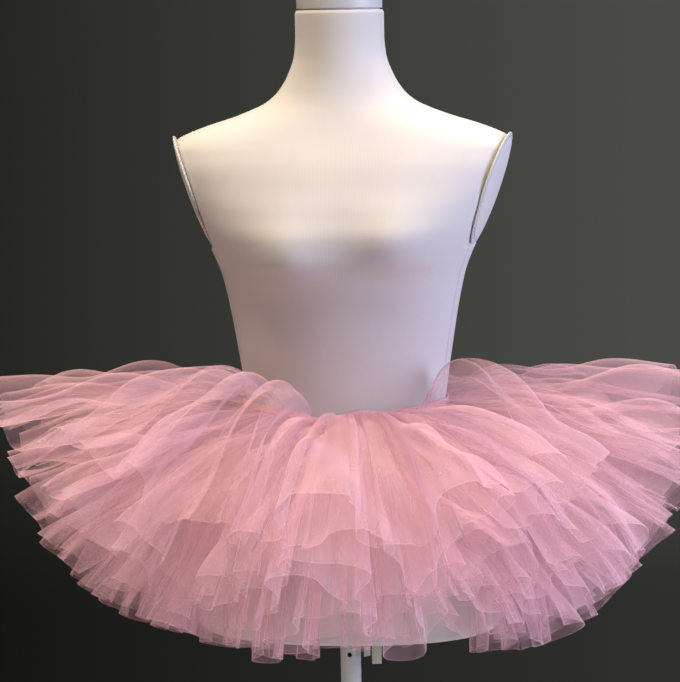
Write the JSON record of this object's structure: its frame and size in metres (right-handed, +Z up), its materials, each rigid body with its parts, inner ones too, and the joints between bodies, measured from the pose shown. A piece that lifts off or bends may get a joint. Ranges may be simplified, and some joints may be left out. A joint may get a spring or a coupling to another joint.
{
  "type": "ballet tutu on a dress form",
  "caption": "Pink tulle tutu of gathered tiers on an elastic waistband, shown on a smooth white limbless dress form with a pole stand and round base.",
  "frame": {"origin": "on the floor, at the centre of the underside of the stand's round base", "axes": "+Z up along the pole, -Y towards the form's front, +X towards the form's left side"},
  "size_m": [0.8535, 0.7605, 1.4704],
  "materials": {
    "white_powder_coat": "satin",
    "white_jersey": "matt knitted jersey over foam",
    "white_neck_block": "satin",
    "white_piping": "matt",
    "white_tape": "matt woven tape",
    "pink_elastic": "matt",
    "pink_tulle": "soft sheer net"
  },
  "bodies": {
    "root": {"stand_base": "white_powder_coat", "stand_hub": "white_powder_coat", "stand_pole": "white_powder_coat", "form_torso": "white_jersey", "neck_block": "white_neck_block", "arm_plate_left": "white_jersey", "arm_plate_right": "white_jersey", "arm_piping_left": "white_piping", "arm_piping_right": "white_piping", "cover_tie_short": "white_tape", "cover_tie_long": "white_tape", "waistband": "pink_elastic", "tulle_tier_1": "pink_tulle", "tulle_tier_2": "pink_tulle", "tulle_tier_3": "pink_tulle", "tulle_tier_4": "pink_tulle", "tulle_tier_5": "pink_tulle", "tulle_tier_6": "pink_tulle", "tulle_tier_7": "pink_tulle"}
  },
  "joints": []
}
